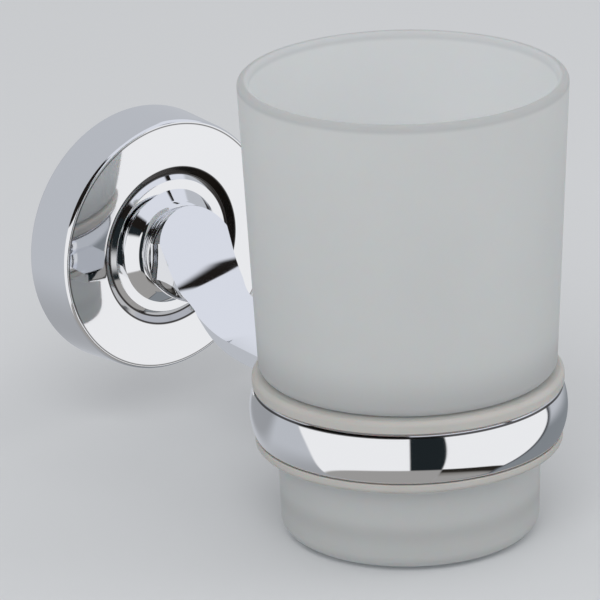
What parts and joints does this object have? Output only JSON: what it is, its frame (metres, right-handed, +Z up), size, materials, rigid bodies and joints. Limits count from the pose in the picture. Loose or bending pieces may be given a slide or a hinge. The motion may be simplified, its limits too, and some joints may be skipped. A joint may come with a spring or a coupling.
{
  "type": "tumbler holder",
  "caption": "Wall-mounted round chromed holder whose curved arm carries a ring with a lift-out frosted glass tumbler.",
  "frame": {"origin": "centre of the rosette's back on the wall plane, midway between the bracket's two slots", "axes": "+Y into the wall, -Y out along the arm to the tumbler, +Z up, +X along the wall"},
  "size_m": [0.066, 0.1238, 0.0952],
  "materials": {
    "chrome": "polished chrome plate",
    "liner_plastic": "translucent satin plastic",
    "frosted_glass": "acid-etched satin glass",
    "cast_zinc": "dull plated casting",
    "screw_steel": "stainless steel"
  },
  "bodies": {
    "holder": {"rosette": "chrome", "post_collar": "chrome", "arm": "chrome", "hoop": "chrome", "wall_bracket": "cast_zinc", "grub_screw": "screw_steel", "arm_screw": "screw_steel", "arm_washer": "screw_steel", "locating_pin": "screw_steel"},
    "seat_ring": {"liner": "liner_plastic"},
    "glass": {"tumbler": "frosted_glass"}
  },
  "joints": [
    {"name": "liner_turn", "type": "hinge", "parent": "holder", "child": "seat_ring", "pos_m": [0, -0.0908, -0.01395], "axis": [0, 0, 1], "continuous": true},
    {"name": "tumbler_lift", "type": "slide", "parent": "seat_ring", "child": "glass", "axis": [0, 0, 1], "range_m": [0, 0.045]}
  ]
}
